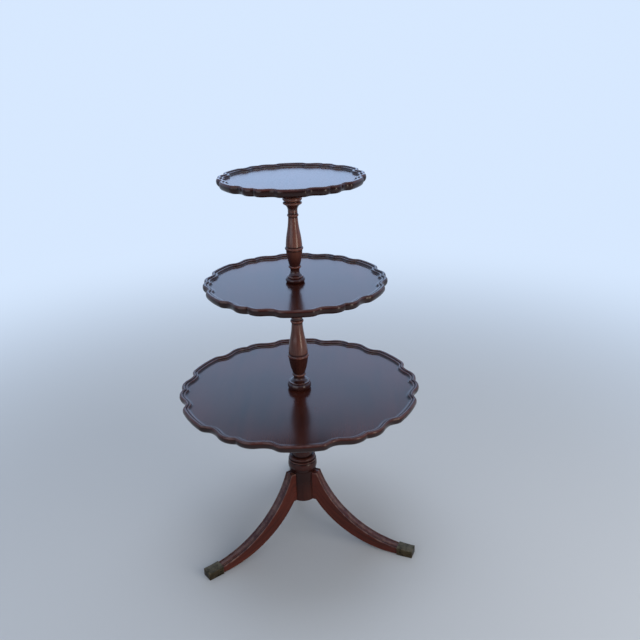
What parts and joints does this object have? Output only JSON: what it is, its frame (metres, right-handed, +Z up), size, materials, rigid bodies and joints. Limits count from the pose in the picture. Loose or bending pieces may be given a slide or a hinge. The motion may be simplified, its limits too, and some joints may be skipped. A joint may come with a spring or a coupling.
{
  "type": "tiered side table",
  "caption": "Tiered pie-crust side table: round dished trays with scalloped moulded rims on a turned pillar with sabre legs and brass box toes.",
  "frame": {"origin": "on the floor under the pillar's axis", "axes": "+Z up along the pillar, -Y towards the viewer, back leg close to +Y; the trays' wide lobes are centred 30 degrees from +X and every 60 degrees from there"},
  "size_m": [0.584, 0.5921, 0.9475],
  "materials": {
    "tray_mahogany": "dark red-brown lacquered mahogany, high gloss, fine straight grain",
    "turned_mahogany": "dark red-brown lacquered mahogany, gloss, darker in the turned hollows",
    "leg_mahogany": "dark red-brown lacquered mahogany, gloss, grain along the leg",
    "bearer_wood": "plain stained wood, dull, hidden under the trays",
    "toe_brass": "aged cast brass, dull olive tone with worn brighter edges",
    "joint_steel": "plain steel, slightly oxidised"
  },
  "bodies": {
    "root": {"top_tray": "tray_mahogany", "middle_tray": "tray_mahogany", "bottom_tray": "tray_mahogany", "upper_column": "turned_mahogany", "lower_column": "turned_mahogany", "pedestal": "turned_mahogany", "leg_back": "leg_mahogany", "leg_left": "leg_mahogany", "leg_right": "leg_mahogany", "top_bearer": "bearer_wood", "middle_bearer": "bearer_wood", "bottom_bearer": "bearer_wood", "toe_cap_back": "toe_brass", "toe_cap_left": "toe_brass", "toe_cap_right": "toe_brass", "toe_cap_pins": "toe_brass", "upper_stud": "joint_steel", "lower_stud": "joint_steel", "dovetail_plate": "joint_steel", "dovetail_plate_screws": "joint_steel", "top_bearer_screws": "joint_steel", "middle_bearer_screws": "joint_steel", "bottom_bearer_screws": "joint_steel"}
  },
  "joints": []
}
